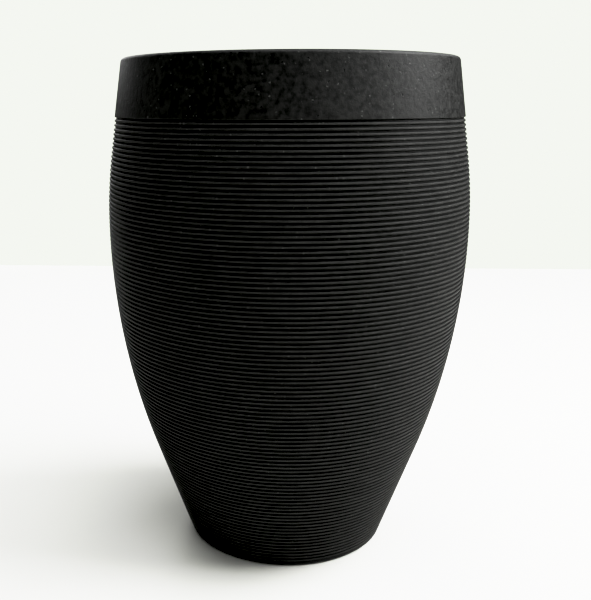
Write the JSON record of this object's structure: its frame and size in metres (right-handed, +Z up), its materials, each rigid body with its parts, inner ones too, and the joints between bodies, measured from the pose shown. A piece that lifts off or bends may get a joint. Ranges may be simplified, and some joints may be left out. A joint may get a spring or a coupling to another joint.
{
  "type": "ribbed planter",
  "caption": "Tall barrel-shaped planter with a horizontally ribbed shell, a smooth rim band, a lift-out inner pot and a drain plug underneath.",
  "frame": {"origin": "on the planter's axis, on the surface that it stands on", "axes": "+Z up along the axis of revolution, +X through the first foot pad"},
  "size_m": [0.2936, 0.2936, 0.4],
  "materials": {
    "shell_plastic": "matt, fine mineral grain",
    "band_plastic": "matt, mottled mineral grain",
    "pot_plastic": "matt, lightly scuffed",
    "plug_plastic": "satin",
    "seal_rubber": "matt",
    "pad_rubber": "matt"
  },
  "bodies": {
    "shell": {"outer_shell": "shell_plastic", "rim_band": "band_plastic", "foot_pad_1": "pad_rubber", "foot_pad_2": "pad_rubber", "foot_pad_3": "pad_rubber", "foot_pad_4": "pad_rubber"},
    "pot": {"inner_pot": "pot_plastic"},
    "plug": {"drain_plug": "plug_plastic", "plug_seal": "seal_rubber"}
  },
  "joints": [
    {"name": "pot_lift", "type": "slide", "parent": "shell", "child": "pot", "axis": [0, 0, 1], "range_m": [0, 0.4]},
    {"name": "plug_pull", "type": "slide", "parent": "shell", "child": "plug", "axis": [0, 0, -1], "range_m": [0, 0.03]}
  ]
}
